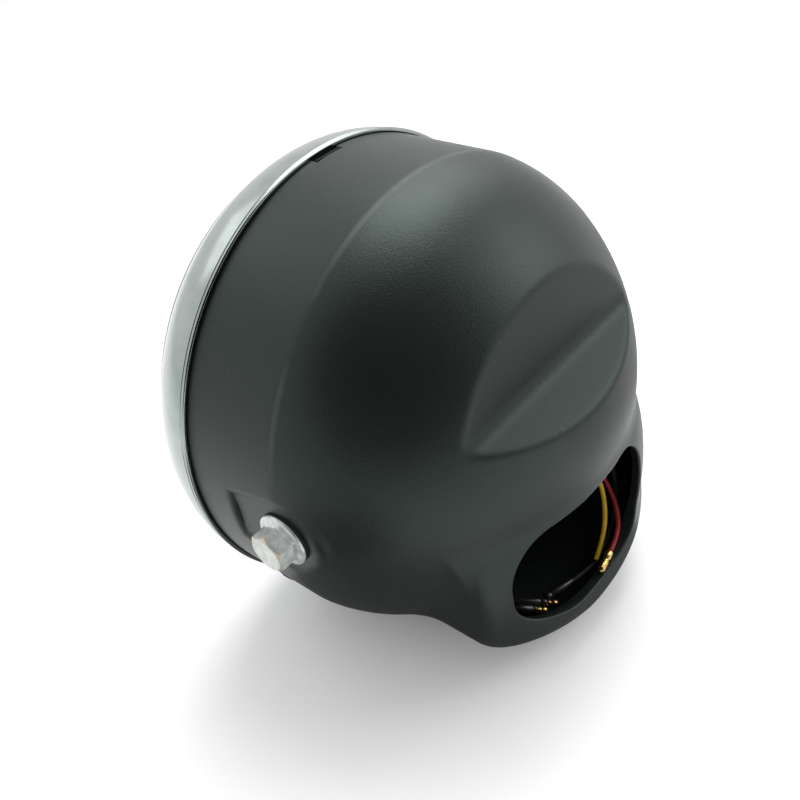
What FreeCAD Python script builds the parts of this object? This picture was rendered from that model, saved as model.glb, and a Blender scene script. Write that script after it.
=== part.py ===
import FreeCAD, Part
import math
import os

# Round motorcycle headlight: a moulded rear shell with a cable opening in its chin, a plated trim
# ring, and a sealed LED unit held in the ring. The lamp shines towards -Y and +Z is up. The origin
# is where the lamp's own axis (Y) crosses the axis of the two side bolts (X). Millimetres.

Vector = FreeCAD.Vector
AXIS_Y = Vector(0, 1, 0)
AXIS_X = Vector(1, 0, 0)
ORIGIN = Vector(0, 0, 0)

# Rear shell
wall = 2.5
band_radius = 82.1
mouth_y = -47.0
spigot_step = 2.9
spigot_length = 6.0
crease_y = -1.35
crease_lean = 8.0
haunch_radius = 57.0
haunch_end_lean = 34.0

# V-shaped groove across the back of the dome
groove_depth = 17.4
groove_line_z = 26.0
groove_upper_lean = 4.6
groove_lower_fall = 28.0
groove_root_radius = 6.0
groove_reach = 70.0

# Chin below the dome, and the cable opening in its back
chin_half_width = 51.0
chin_flank_z = -49.0
chin_depth = 21.5
chin_rear_radius = 90.0
chin_proud = 2.1
chin_rear_z = -38.0
chin_rim_fillet = 8.0
opening_half_width = 41.5
opening_top_z = -14.0
opening_side_z = -36.0
opening_depth = 25.0
opening_corner = 14.0
opening_reach = 18.7

# Side bolts with their seats
seat_drop = 1.6
seat_radius = 15.0
seat_front = 20.0
seat_front_half_width = 12.0
seat_flank = 0.75
seat_draft = 0.6
seat_cut_height = 5.0
bolt_radius = 4.0
bolt_length = 20.0
bolt_flange_radius = 9.25
bolt_flange_height = 1.6
bolt_hex_flats = 12.0
bolt_hex_height = 6.0
bolt_chamfer = 0.5
hex_phase = 25.0
washer_radius = 9.6
washer_thickness = 2.0
washer_proud = 0.5
nut_flats = 13.0
nut_height = 6.5
seat_thickness = 7.0
inner_pad_radius = 12.0

# Trim ring
ring_sheet = 1.0
ring_rear_y = -38.0
ring_hem_depth = 1.3
ring_bead = 1.1
ring_bead_groove = 0.5
ring_taper = 3.1
ring_middle_y = -52.0
ring_nose_fall = 6.0
ring_nose_y = -60.6
ring_lip_fall = 4.0
ring_lip_y = -62.8

# Tabs, hook and screws that hold the ring to the shell
tab_sheet = 1.2
tab_half_width = 7.0
tab_end_y = -24.0
tab_front_y = -51.0
screw_y = -31.0
screw_angle = 41.0
screw_radius = 2.5
screw_head_radius = 5.0
screw_head_height = 3.0
screw_head_crown = 1.8
screw_length = 15.0
screw_boss_radius = 6.0
clip_nut_side = 10.0
clip_nut_height = 4.0
hook_half_width = 5.5
hook_slot_length = 3.2

# Sealed LED unit
lens_flange_margin = 0.1
lens_skirt_margin = 0.7
lens_thickness = 2.5
lens_flange_y = -57.5
lens_skirt_y = -61.5
lens_bulge = 5.0
gasket_thickness = 1.8
reflector_wall = 2.0
reflector_rim_margin = 2.4
reflector_rim_width = 17.5
reflector_mid_y = -37.4
reflector_eye_radius = 22.0
reflector_eye_y = -20.0
flange_thickness = 2.0
housing_wall = 2.5
housing_gap = 1.5
base_radius = 46.0
base_thickness = 5.0
hub_radius = 18.0
fin_count = 24
fin_thickness = 2.0
fin_end_radius = 44.0
fin_depth = 17.0
carrier_half_width = 20.0
carrier_thickness = 6.0
carrier_front_y = -50.0
chip_length = 16.0
chip_width = 6.0
chip_height = 1.0
chip_y = -34.0
shield_thickness = 2.0
board_thickness = 1.6
driver_cover_thickness = 2.5
gland_radius = 6.0
gland_length = 7.0
clip_sheet = 1.0
clip_half_width = 6.0
clip_angles = (0.0, 55.0, 125.0, 180.0, 270.0)

# Wires, their sleeves and bullet terminals
wire_radius = 0.9
sleeve_radius = 1.6
terminal_radius = 1.35
gland_pitch = 2.6
sleeve_long = 12.5
sleeve_short = 8.5
bullet_length = 8.8
bullet_show = 4.4

clearance = 0.3
hole_clearance = 0.2


def at(radius, y):
    """A point of a turned profile: radius from the lamp's axis, and place along it."""
    return Vector(radius, y, 0)


def line(start, end):
    return Part.LineSegment(start, end).toShape()


def arc(start, middle, end):
    return Part.Arc(start, middle, end).toShape()


def swing(centre, radius, start, end):
    """An arc of a turned profile about a centre, between two angles in radians."""
    points = []
    for angle in (start, (start + end) / 2, end):
        points.append(centre + Vector(radius * math.cos(angle), radius * math.sin(angle), 0))
    return arc(*points)


def chain(points):
    """Straight edges from each point to the next."""
    edges = []
    for start, end in zip(points, points[1:]):
        edges.append(line(start, end))
    return edges


def turned(edges):
    """The solid that a closed profile sweeps round the lamp's axis."""
    profile = Part.Face(Part.Wire(Part.__sortEdges__(edges)))
    return profile.revolve(ORIGIN, AXIS_Y, 360)


def turned_outline(points):
    return turned(chain(points + points[:1]))


def rod(radius, start, end):
    """A round bar from one point to another."""
    return Part.makeCylinder(radius, (end - start).Length, start, end - start)


def tube(outer, inner, start, end):
    return rod(outer, start, end).cut(rod(inner, start, end))


def block(low, high):
    size = high - low
    return Part.makeBox(size.x, size.y, size.z, low)


def prism(points, direction):
    """A straight prism on a closed polygon."""
    return Part.Face(Part.makePolygon(points + points[:1])).extrude(direction)


def hexagon(flats, start_x, end_x):
    """A hexagonal bar along X."""
    corner = flats / math.sqrt(3)
    points = []
    for step in range(6):
        angle = math.radians(60 * step + hex_phase)
        points.append(Vector(start_x, corner * math.cos(angle), corner * math.sin(angle)))
    return prism(points, Vector(end_x - start_x, 0, 0))


def mirrored(shape):
    """The same piece on the lamp's other side."""
    return shape.mirror(ORIGIN, AXIS_X)


def about_axis(shape, angle):
    """A piece made on +X, carried round the lamp's axis so that positive angles go up."""
    turned_shape = shape.copy()
    turned_shape.rotate(ORIGIN, AXIS_Y, -angle)
    return turned_shape


def save(name, shape):
    shape.exportStep("parts/" + name + ".step")


os.makedirs("parts", exist_ok=True)


# Rear shell: spigot, band, haunch and dome are one turned form
crease_turn = math.radians(crease_lean)
haunch_end_turn = math.radians(haunch_end_lean)
haunch_centre = at(band_radius - haunch_radius * math.cos(crease_turn),
                   crease_y - haunch_radius * math.sin(crease_turn))
dome_radius = haunch_radius + haunch_centre.x / math.cos(haunch_end_turn)
dome_centre = at(0, haunch_centre.y - haunch_centre.x * math.tan(haunch_end_turn))
dome_pole_y = dome_centre.y + dome_radius
spigot_radius = band_radius - spigot_step


def dome_form(inset, front_y):
    """Spigot, band, haunch and dome, set in from the outside by the given amount."""
    spigot = spigot_radius - inset
    band = band_radius - inset
    shoulder_y = mouth_y + spigot_length + inset
    haunch = haunch_radius - inset
    start_turn = math.acos((band - haunch_centre.x) / haunch)
    crease = at(band, haunch_centre.y + haunch * math.sin(start_turn))
    outline = [at(0, front_y), at(spigot, front_y), at(spigot, shoulder_y), at(band, shoulder_y), crease]
    edges = chain(outline) + [
        swing(haunch_centre, haunch, start_turn, haunch_end_turn),
        swing(dome_centre, dome_radius - inset, haunch_end_turn, math.pi / 2),
        line(at(0, dome_pole_y - inset), at(0, front_y)),
    ]
    return turned(edges)


chin_rear_y = dome_pole_y + chin_proud - chin_rear_radius
groove_line_y = dome_pole_y - groove_depth


def chin_form(inset):
    """The chin: a wide U carried back to a rounded rear face."""
    half = chin_half_width - inset
    low = Vector(0, 0, chin_flank_z - chin_depth + inset)
    side = Vector(half, 0, chin_flank_z)
    other = Vector(-half, 0, chin_flank_z)
    bottom = Part.Ellipse(side, low, Vector(0, 0, chin_flank_z))
    edges = [
        Part.ArcOfEllipse(bottom, 0, math.pi).toShape(),
        line(other, Vector(-half, 0, 0)),
        line(Vector(-half, 0, 0), Vector(half, 0, 0)),
        line(Vector(half, 0, 0), side),
    ]
    outline = Part.Face(Part.Wire(Part.__sortEdges__(edges)))
    bar = outline.extrude(Vector(0, dome_radius, 0))
    rear = Part.makeSphere(chin_rear_radius - inset, Vector(0, chin_rear_y, chin_rear_z))
    form = bar.common(rear)
    rim = []
    for edge in form.Edges:
        box = edge.BoundBox
        if box.YMin > clearance and box.ZMax < clearance and box.ZLength > clearance:
            rim.append(edge)
    return form.makeFillet(chin_rim_fillet - inset, rim)


def groove_form(inset):
    """The wedge that the groove takes out, with its faces moved into the shell by the given amount."""
    lean = math.radians(groove_upper_lean)
    fall = math.radians(groove_lower_fall)
    upper_normal = Vector(0, math.cos(lean), math.sin(lean))
    lower_normal = Vector(0, math.sin(fall), math.cos(fall))
    corner_shift = (upper_normal + lower_normal) * (inset / (1 + upper_normal.dot(lower_normal)))
    corner = Vector(-groove_reach, groove_line_y, groove_line_z) - corner_shift
    upward = Vector(0, -math.sin(lean), math.cos(lean))
    rearward = Vector(0, math.cos(fall), -math.sin(fall))
    points = [corner, corner + upward * groove_reach,
              corner + (upward + rearward) * groove_reach, corner + rearward * groove_reach]
    wedge = prism(points, Vector(2 * groove_reach, 0, 0))
    root = []
    for edge in wedge.Edges:
        middle = edge.CenterOfMass
        if abs(middle.y - corner.y) < 1e-6 and abs(middle.z - corner.z) < 1e-6:
            root.append(edge)
    return wedge.makeFillet(groove_root_radius + inset, root)


def opening_form():
    """The D-shaped cable opening, cut straight back through the chin's rear face."""
    half = opening_half_width
    flat = half - opening_corner
    corner_z = opening_top_z - opening_corner
    start_y = dome_pole_y + chin_proud - opening_reach
    slant = opening_corner * math.sqrt(0.5)
    side = Vector(half, start_y, opening_side_z)
    low = Vector(0, start_y, opening_side_z - opening_depth)
    bottom = Part.Ellipse(side, low, Vector(0, start_y, opening_side_z))
    edges = [
        Part.ArcOfEllipse(bottom, 0, math.pi).toShape(),
        line(Vector(-half, start_y, opening_side_z), Vector(-half, start_y, corner_z)),
        arc(Vector(-half, start_y, corner_z), Vector(-flat - slant, start_y, corner_z + slant),
            Vector(-flat, start_y, opening_top_z)),
        line(Vector(-flat, start_y, opening_top_z), Vector(flat, start_y, opening_top_z)),
        arc(Vector(flat, start_y, opening_top_z), Vector(flat + slant, start_y, corner_z + slant),
            Vector(half, start_y, corner_z)),
        line(Vector(half, start_y, corner_z), side),
    ]
    outline = Part.Face(Part.Wire(Part.__sortEdges__(edges)))
    return outline.extrude(Vector(0, dome_radius, 0))


outer = dome_form(0, mouth_y).fuse(chin_form(0)).cut(groove_form(0))
hollow = dome_form(wall, mouth_y - wall).fuse(chin_form(wall)).cut(groove_form(wall))

# Each bolt seat is a flat, sunk in the band in front and raised from the haunch behind, with a pad
# for the nut on the inside
seat_x = band_radius - seat_drop
inner_pad_x = seat_x - seat_thickness
seat_foot_x = inner_pad_x - wall


def seat_outline(x, growth):
    """The flat's outline: round behind the bolt, with straight flanks to a narrower front edge."""
    radius = seat_radius + growth
    front = Vector(x, -seat_front - growth, seat_front_half_width + growth)
    corner_turn = math.atan2(front.z, front.y)
    touch_turn = corner_turn - math.acos(radius / math.hypot(front.y, front.z))
    touch = Vector(x, radius * math.cos(touch_turn), radius * math.sin(touch_turn))
    low_front = Vector(x, front.y, -front.z)
    low_touch = Vector(x, touch.y, -touch.z)
    return Part.Wire([arc(low_touch, Vector(x, radius, 0), touch), line(touch, front),
                      line(front, low_front), line(low_front, low_touch)])


seat_growth = (seat_x - seat_foot_x) * seat_flank
seat_boss = Part.makeLoft([seat_outline(seat_foot_x, seat_growth), seat_outline(seat_x, 0)], True, True)
seat_cut = Part.makeLoft([seat_outline(seat_x, 0), seat_outline(seat_x + seat_cut_height,
                                                                seat_cut_height * seat_draft)], True, True)
nut_pad = rod(inner_pad_radius, Vector(inner_pad_x, 0, 0), Vector(seat_x, 0, 0))
washer_back_x = seat_x + washer_proud - washer_thickness
bolt_bore = rod(bolt_radius + hole_clearance, Vector(inner_pad_x - wall, 0, 0), Vector(seat_x, 0, 0))
washer_bore = rod(washer_radius + hole_clearance, Vector(washer_back_x, 0, 0), Vector(seat_x + wall, 0, 0))

shell = outer
for side in (lambda shape: shape, mirrored):
    shell = shell.fuse(side(seat_boss)).cut(side(seat_cut))
shell = shell.cut(hollow)
for side in (lambda shape: shape, mirrored):
    shell = shell.fuse(side(nut_pad)).cut(side(bolt_bore)).cut(side(washer_bore))
shell = shell.cut(opening_form())

# Bosses and holes for the ring's two screws, and a slot for its top hook
shell_bore = spigot_radius - wall - clearance


def flat_reach(bore, half_width):
    """How far out a flat strip of that half width can lie inside a round bore."""
    return math.sqrt(bore ** 2 - half_width ** 2)


tab_top = flat_reach(shell_bore, tab_half_width)
screw_places = (-screw_angle, 180 + screw_angle)
screw_boss = rod(screw_boss_radius, Vector(tab_top, screw_y, 0), Vector(band_radius - wall / 2, screw_y, 0))
screw_hole = rod(screw_radius + hole_clearance, Vector(tab_top - wall, screw_y, 0),
                 Vector(band_radius + wall, screw_y, 0))
for angle in screw_places:
    shell = shell.fuse(about_axis(screw_boss, angle)).cut(about_axis(screw_hole, angle))
hook_slot_end = ring_rear_y + hook_slot_length
hook_slot = block(Vector(-hook_half_width - clearance, ring_rear_y, band_radius - 2 * wall),
                  Vector(hook_half_width + clearance, hook_slot_end, band_radius + wall))
shell = shell.cut(hook_slot)
save("rear_shell", shell)

# Trim ring: one rolled and plated sheet with a beaded rear edge and a turned-in front lip
ring_bore_rear = band_radius + clearance
ring_radius = ring_bore_rear + ring_hem_depth
ring_middle_radius = ring_radius - ring_taper
ring_nose_radius = ring_middle_radius - ring_nose_fall
ring_lip_radius = ring_nose_radius - ring_lip_fall
bead_centre = at(ring_radius - ring_bead, ring_rear_y - ring_bead)
bead_turn = math.acos(1 - ring_bead_groove / ring_bead)
bead_groove = bead_centre + Vector(ring_bead * math.cos(bead_turn), -ring_bead * math.sin(bead_turn), 0)
face_start = at(ring_radius - ring_bead_groove / 2, bead_groove.y - ring_sheet)
face_back = at(ring_bore_rear, face_start.y)
nose = at(ring_nose_radius, ring_nose_y)
lip = at(ring_lip_radius, ring_lip_y + ring_sheet)
lip_front = at((ring_lip_radius + ring_nose_radius) / 2, ring_lip_y)
lip_back = lip + Vector(ring_sheet / 2, ring_sheet, 0)
nose_back = nose + Vector(-ring_sheet, ring_sheet, 0)
middle_back = at(ring_middle_radius - ring_sheet, ring_middle_y)
ring_edges = [
    arc(face_start, at(ring_middle_radius, ring_middle_y), nose),
    arc(nose, lip_front, lip),
    line(lip, lip_back),
    line(lip_back, nose_back),
    arc(nose_back, middle_back, face_back),
    line(face_back, at(ring_bore_rear, ring_rear_y)),
    line(at(ring_bore_rear, ring_rear_y), at(bead_centre.x, ring_rear_y)),
    arc(at(bead_centre.x, ring_rear_y), at(ring_radius, bead_centre.y), bead_groove),
    line(bead_groove, face_start),
]
save("trim_ring", turned(ring_edges))

# Tabs and hook: bent steel strips welded inside the ring, reaching back into the shell
ring_bore = ring_middle_radius - ring_sheet - clearance
tab_under = tab_top - tab_sheet
tab_foot_top = flat_reach(ring_bore, tab_half_width)
tab_leg = block(Vector(tab_under, tab_front_y, -tab_half_width), Vector(tab_top, tab_end_y, tab_half_width))
tab_foot = block(Vector(tab_under, tab_front_y, -tab_half_width),
                 Vector(tab_foot_top, tab_front_y + tab_sheet, tab_half_width))
screw_tip_x = band_radius - screw_length
tab_bore = rod(screw_radius + hole_clearance, Vector(screw_tip_x, screw_y, 0), Vector(band_radius, screw_y, 0))
tab = tab_leg.fuse(tab_foot).cut(tab_bore).removeSplitter()
save("ring_tabs", Part.makeCompound([about_axis(tab, angle) for angle in screw_places]))

clip_nut_half = clip_nut_side / 2
clip_nut = block(Vector(tab_under - clip_nut_height, screw_y - clip_nut_half, -clip_nut_half),
                 Vector(tab_under, screw_y + clip_nut_half, clip_nut_half)).cut(tab_bore)
save("ring_clip_nuts", Part.makeCompound([about_axis(clip_nut, angle) for angle in screw_places]))

# Ring screws: pan heads on the band, shanks through the tab into the clip nut
screw_top_x = band_radius + screw_head_height
screw_head = rod(screw_head_radius, Vector(band_radius, screw_y, 0), Vector(screw_top_x, screw_y, 0))
crown = [edge for edge in screw_head.Edges if edge.BoundBox.XMin > screw_top_x - clearance]
screw_head = screw_head.makeFillet(screw_head_crown, crown)
screw = screw_head.fuse(rod(screw_radius, Vector(screw_tip_x, screw_y, 0), Vector(band_radius, screw_y, 0)))
save("ring_screws", Part.makeCompound([about_axis(screw, angle) for angle in screw_places]))

hook_top = flat_reach(shell_bore, hook_half_width)
hook_foot_top = flat_reach(ring_bore, hook_half_width)
hook_tip_y = hook_slot_end - clearance
hook_leg = block(Vector(-hook_half_width, tab_front_y, hook_top - tab_sheet),
                 Vector(hook_half_width, hook_tip_y, hook_top))
hook_foot = block(Vector(-hook_half_width, tab_front_y, hook_top - tab_sheet),
                  Vector(hook_half_width, tab_front_y + tab_sheet, hook_foot_top))
hook_tip = block(Vector(-hook_half_width, hook_tip_y - tab_sheet, hook_top - tab_sheet),
                 Vector(hook_half_width, hook_tip_y, band_radius))
save("ring_hook", hook_leg.fuse(hook_foot).fuse(hook_tip).removeSplitter())

# Side bolts: flanged hexagon heads on rubber washers, with a nut on the pad inside
flange_x = seat_x + washer_proud
flange_top_x = flange_x + bolt_flange_height
bolt_top_x = flange_top_x + bolt_hex_height
bolt_tip_x = flange_x - bolt_length
flange = Part.makeCone(bolt_flange_radius, bolt_hex_flats / 2 + bolt_chamfer, bolt_flange_height,
                       Vector(flange_x, 0, 0), AXIS_X)
crown_length = bolt_hex_flats
crown_radius = bolt_hex_flats / 2 - bolt_chamfer
head_crown = Part.makeCone(crown_radius + crown_length, crown_radius, crown_length,
                           Vector(bolt_top_x - crown_length, 0, 0), AXIS_X)
head = hexagon(bolt_hex_flats, flange_x, bolt_top_x).common(head_crown)
bolt = flange.fuse(head).fuse(rod(bolt_radius, Vector(bolt_tip_x, 0, 0), Vector(flange_x, 0, 0)))
bolt = bolt.removeSplitter()
washer = tube(washer_radius, bolt_radius + hole_clearance,
              Vector(washer_back_x, 0, 0), Vector(flange_x, 0, 0))
nut = hexagon(nut_flats, inner_pad_x - nut_height, inner_pad_x)
nut = nut.cut(rod(bolt_radius + hole_clearance / 2, Vector(bolt_tip_x, 0, 0), Vector(inner_pad_x, 0, 0)))
for name, shape in (("side_bolt", bolt), ("bolt_washer", washer), ("bolt_nut", nut)):
    save(name + "_right", shape)
    save(name + "_left", mirrored(shape))

# Front lens: one clear moulding with a flange, a short skirt and a slight bulge
lens_flange_radius = ring_nose_radius - lens_flange_margin
lens_skirt_radius = ring_lip_radius - lens_skirt_margin
lens_back_y = lens_flange_y + lens_thickness
lens_bore = lens_skirt_radius - lens_thickness
lens_pole_y = lens_skirt_y - lens_bulge
lens_sphere = (lens_skirt_radius ** 2 + lens_bulge ** 2) / (2 * lens_bulge)
lens_centre_y = lens_pole_y + lens_sphere


def lens_arc(sphere, rim_radius):
    """Part of a sphere about the lens centre, from the axis out to a rim."""
    turn = math.asin(rim_radius / sphere)
    places = [at(sphere * math.sin(turn * share), lens_centre_y - sphere * math.cos(turn * share))
              for share in (0, 0.5, 1)]
    return arc(*places), places[0], places[2]


outer_arc, outer_pole, outer_rim = lens_arc(lens_sphere, lens_skirt_radius)
inner_arc, inner_pole, inner_rim = lens_arc(lens_sphere - lens_thickness, lens_bore)
lens_edges = [outer_arc, inner_arc, line(outer_pole, inner_pole)]
lens_edges += chain([outer_rim, at(lens_skirt_radius, lens_flange_y), at(lens_flange_radius, lens_flange_y),
                     at(lens_flange_radius, lens_back_y), at(lens_bore, lens_back_y), inner_rim])
save("front_lens", turned(lens_edges))

# Gasket: a flat rubber ring between the lens flange and the trim ring's lip
gasket_inner = lens_skirt_radius + 2 * clearance
gasket_outer = ring_nose_radius - ring_sheet - clearance
save("lens_gasket", turned_outline([at(gasket_inner, lens_flange_y - gasket_thickness),
                                    at(gasket_outer, lens_flange_y - gasket_thickness),
                                    at(gasket_outer, lens_flange_y), at(gasket_inner, lens_flange_y)]))

# Reflector: a metallised bowl with a flange glued to the lens
reflector_rim_radius = lens_skirt_radius - reflector_rim_margin
reflector_mid_radius = reflector_rim_radius - reflector_rim_width
reflector_back_y = lens_back_y + flange_thickness


def bowl_arc(shift_r, shift_y):
    """The bowl's curve from rim to eye, moved by the given amounts."""
    return arc(at(reflector_rim_radius + shift_r, lens_back_y + shift_y),
               at(reflector_mid_radius + shift_r, reflector_mid_y + shift_y),
               at(reflector_eye_radius + shift_r, reflector_eye_y + shift_y))


reflector_edges = [bowl_arc(0, 0), bowl_arc(0, reflector_wall)]
reflector_edges += chain([at(reflector_eye_radius, reflector_eye_y),
                          at(reflector_eye_radius, reflector_eye_y + reflector_wall)])
reflector_edges += chain([at(reflector_rim_radius, lens_back_y), at(lens_flange_radius, lens_back_y),
                          at(lens_flange_radius, reflector_back_y),
                          at(reflector_rim_radius, reflector_back_y)])
save("reflector", turned(reflector_edges))

# Lamp housing: a die-cast bowl and base with radial cooling fins and a hub for the driver
base_front_y = reflector_eye_y + reflector_wall + housing_gap
base_back_y = base_front_y + base_thickness
fin_back_y = base_back_y + fin_depth
bowl_foot = at(base_radius, base_front_y - housing_wall)
flange_back_y = reflector_back_y + flange_thickness
housing_edges = [
    arc(at(reflector_rim_radius + housing_gap, reflector_back_y),
        at(reflector_mid_radius + housing_gap / 2, reflector_mid_y + reflector_wall + housing_gap),
        at(reflector_eye_radius + housing_gap, base_front_y)),
    arc(at(lens_flange_radius - housing_wall, flange_back_y),
        at((lens_flange_radius + base_radius) / 2, reflector_mid_y + housing_wall),
        bowl_foot),
]
housing_edges += chain([at(reflector_rim_radius + housing_gap, reflector_back_y),
                        at(lens_flange_radius, reflector_back_y), at(lens_flange_radius, flange_back_y),
                        at(lens_flange_radius - housing_wall, flange_back_y)])
housing_edges += chain([bowl_foot, at(base_radius, base_back_y), at(0, base_back_y), at(0, base_front_y),
                        at(reflector_eye_radius + housing_gap, base_front_y)])
housing = turned(housing_edges)
fin = block(Vector(hub_radius - housing_wall / 2, base_back_y, -fin_thickness / 2),
            Vector(fin_end_radius, fin_back_y, fin_thickness / 2))
fins = [about_axis(fin, 360 * step / fin_count) for step in range(fin_count)]
hub = rod(hub_radius, at(0, base_back_y), at(0, fin_back_y))
housing = housing.fuse([hub] + fins)
board_y = base_back_y + fin_depth / 2
hub_bore = hub_radius - housing_wall
housing = housing.cut(rod(hub_bore, at(0, board_y), at(0, fin_back_y)))
housing = housing.cut(rod(hub_bore - housing_wall, at(0, base_back_y), at(0, board_y))).removeSplitter()
save("lamp_housing", housing)

# LED carrier: a metal blade on the base, with one chip above, one below and a bright cap in front
carrier_half = carrier_thickness / 2
save("led_carrier", block(Vector(-carrier_half_width, carrier_front_y, -carrier_half),
                          Vector(carrier_half_width, base_front_y, carrier_half)))
upper_chip = block(Vector(-chip_length / 2, chip_y - chip_width / 2, carrier_half),
                   Vector(chip_length / 2, chip_y + chip_width / 2, carrier_half + chip_height))
lower_chip = upper_chip.mirror(ORIGIN, Vector(0, 0, 1))
save("led_chips", Part.makeCompound([upper_chip, lower_chip]))
shield_half = carrier_half + chip_height + shield_thickness / 2
save("led_shield", block(Vector(-carrier_half_width, carrier_front_y - shield_thickness, -shield_half),
                         Vector(carrier_half_width, carrier_front_y, shield_half)))

# Driver: a round board on a ledge in the hub, under a cover with a rubber gland
save("driver_board", rod(hub_bore - clearance, at(0, board_y), at(0, board_y + board_thickness)))
cover_back_y = fin_back_y + driver_cover_thickness
gland_neck = gland_radius - driver_cover_thickness
save("driver_cover", tube(hub_radius, gland_neck + hole_clearance, at(0, fin_back_y), at(0, cover_back_y)))
gland_back_y = cover_back_y + gland_length
gland = turned_outline([at(0, fin_back_y), at(gland_neck, fin_back_y), at(gland_neck, cover_back_y),
                        at(gland_radius, cover_back_y), at(gland_radius, cover_back_y + gland_length / 3),
                        at(gland_pitch + 2 * wire_radius, gland_back_y), at(0, gland_back_y)])
save("wire_gland", gland)

# Spring clips: bent strips that press the unit's flange into the ring
clip_top = flat_reach(ring_bore, clip_half_width)
clip_low = lens_flange_radius - housing_wall + clearance
clip_leg = block(Vector(clip_low, flange_back_y, -clip_half_width),
                 Vector(clip_top, flange_back_y + clip_sheet, clip_half_width))
clip_grip = block(Vector(clip_low, flange_back_y, -clip_half_width),
                  Vector(clip_low + clip_sheet, flange_back_y + 4 * clip_sheet, clip_half_width))
clip = clip_leg.fuse(clip_grip).removeSplitter()
save("spring_clips", Part.makeCompound([about_axis(clip, angle) for angle in clip_angles]))


# Wires: straight runs joined by tangent arcs, each as large as its runs allow
def wire_path(points):
    """Edges of a wire's centre line, its length, and the radii of its bends."""
    edges = []
    radii = []
    start = points[0]
    for before, corner, after in zip(points, points[1:], points[2:]):
        inward = (before - corner).normalize()
        outward = (after - corner).normalize()
        half_turn = (math.pi - inward.getAngle(outward)) / 2
        setback = 0.45 * min((before - corner).Length, (after - corner).Length)
        radius = setback / math.tan(half_turn)
        bisector = (inward + outward).normalize()
        middle = corner + bisector * (radius / math.cos(half_turn) - radius)
        edges.append(line(start, corner + inward * setback))
        edges.append(arc(corner + inward * setback, middle, corner + outward * setback))
        start = corner + outward * setback
        radii.append(radius)
    edges.append(line(start, points[-1]))
    return edges, radii


def lay_wire(name, places):
    """A wire from the gland along its route, and the direction of its free end."""
    points = [Vector(*place) for place in places]
    edges, radii = wire_path(points)
    spine = Part.Wire(edges)
    section = Part.Wire(Part.makeCircle(wire_radius, points[0], points[1] - points[0]))
    solid = spine.makePipeShell([section], True, False)
    save(name, solid)
    expected = math.pi * wire_radius ** 2 * spine.Length
    print(name, "length %.1f" % spine.Length, "tightest bend %.1f" % min(radii),
          "volume ratio %.4f" % (solid.Volume / expected))
    return points[-1], (points[-1] - points[-2]).normalize()


def gland_exit(angle):
    """Where a wire leaves the gland's back face, and the end of its first straight run."""
    turn = math.radians(angle)
    x = gland_pitch * math.cos(turn)
    z = gland_pitch * math.sin(turn)
    return (x, gland_back_y, z), (x, gland_back_y + gland_length, z)


lay_wire("wire_yellow", [
    *gland_exit(162), (-8.0, 31.0, -6.0), (-16.0, 38.0, -17.0), (-22.0, 43.5, -30.0),
    (-23.9, 47.2, -42.0), (-19.5, 51.3, -51.5), (-13.5, 53.3, -58.5), (-7.0, 54.4, -62.0)])
red_end, red_way = lay_wire("wire_red", [
    *gland_exit(234), (-9.0, 30.5, -11.0), (-18.0, 37.0, -22.0), (-25.5, 42.0, -34.0),
    (-28.6, 46.1, -44.0), (-25.0, 52.8, -51.0), (-18.0, 57.6, -56.4), (-9.5, 58.6, -57.8)])
long_end, long_way = lay_wire("wire_black_long", [
    *gland_exit(90), (-7.5, 29.5, 1.5), (-20.0, 35.0, -9.0), (-29.5, 39.5, -23.5),
    (-35.5, 43.0, -37.0), (-34.0, 47.5, -48.5), (-26.0, 51.3, -57.0), (-15.5, 53.4, -62.4),
    (-5.0, 53.8, -64.9), (4.0, 51.2, -64.5)])
inner_end, inner_way = lay_wire("wire_black_inner", [
    *gland_exit(306), (7.0, 30.5, -9.0), (18.0, 31.0, -22.0), (25.5, 30.0, -36.0),
    (31.5, 31.0, -50.0), (31.5, 34.0, -58.2), (26.5, 40.2, -59.8)])
outer_end, outer_way = lay_wire("wire_black_outer", [
    *gland_exit(18), (9.0, 31.0, -5.0), (23.0, 30.0, -20.0), (31.5, 30.5, -34.0),
    (36.0, 33.0, -47.5), (34.5, 37.5, -56.0), (29.3, 43.0, -58.6)])

# Sleeves and brass bullets on the wires' ends
save("terminal_red", rod(terminal_radius, red_end, red_end + red_way * bullet_length))
save("sleeve_long", rod(sleeve_radius, long_end, long_end + long_way * sleeve_long))
for name, end, way, length in (("inner", inner_end, inner_way, sleeve_long),
                               ("outer", outer_end, outer_way, sleeve_short)):
    tip = end + way * length
    save("sleeve_" + name, rod(sleeve_radius, end, tip))
    save("terminal_" + name, rod(terminal_radius, tip, tip + way * bullet_show))
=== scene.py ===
import math

import bmesh
import bpy
import numpy as np
from mathutils import Matrix, Vector


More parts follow.
